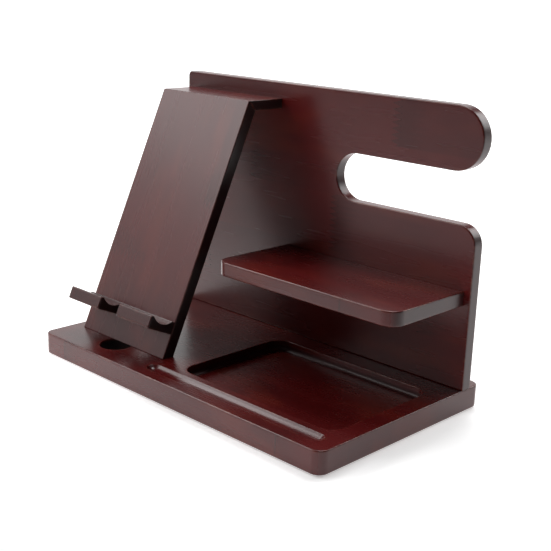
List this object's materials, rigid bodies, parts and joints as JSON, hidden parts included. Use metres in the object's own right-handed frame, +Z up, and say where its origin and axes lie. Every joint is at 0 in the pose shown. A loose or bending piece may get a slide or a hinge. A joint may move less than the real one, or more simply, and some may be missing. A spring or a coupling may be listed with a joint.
{
  "type": "tablet stand",
  "caption": "Wooden desk dock: leaning tablet or phone rest with a notched ledge, back board with a slotted arm, small shelf, tray and pen groove on a thick base.",
  "frame": {"origin": "on the desk under the middle of the base", "axes": "+X along the base's long side towards the shelf and arm end, +Y to the back board, +Z up"},
  "size_m": [0.304, 0.178, 0.223],
  "materials": {
    "stained_wood": "dark mahogany stain under satin lacquer",
    "black_rubber": "matt moulded rubber",
    "zinc_steel": "bright zinc plated",
    "dowel_wood": "plain beech, unfinished"
  },
  "bodies": {
    "root": {"base_board": "stained_wood", "back_board": "stained_wood", "rest_plate": "stained_wood", "rest_top": "stained_wood", "ledge": "stained_wood", "shelf": "stained_wood", "foot_front_left": "black_rubber", "foot_front_right": "black_rubber", "foot_rear_left": "black_rubber", "foot_rear_right": "black_rubber", "base_screw_1": "zinc_steel", "base_screw_2": "zinc_steel", "base_screw_3": "zinc_steel", "base_screw_4": "zinc_steel", "shelf_screw_1": "zinc_steel", "shelf_screw_2": "zinc_steel", "shelf_screw_3": "zinc_steel", "foot_dowel_1": "dowel_wood", "foot_dowel_2": "dowel_wood", "top_dowel_1": "dowel_wood", "top_dowel_2": "dowel_wood", "ledge_pin_1": "dowel_wood", "ledge_pin_2": "dowel_wood", "ledge_pin_3": "dowel_wood", "ledge_pin_4": "dowel_wood"}
  },
  "joints": []
}
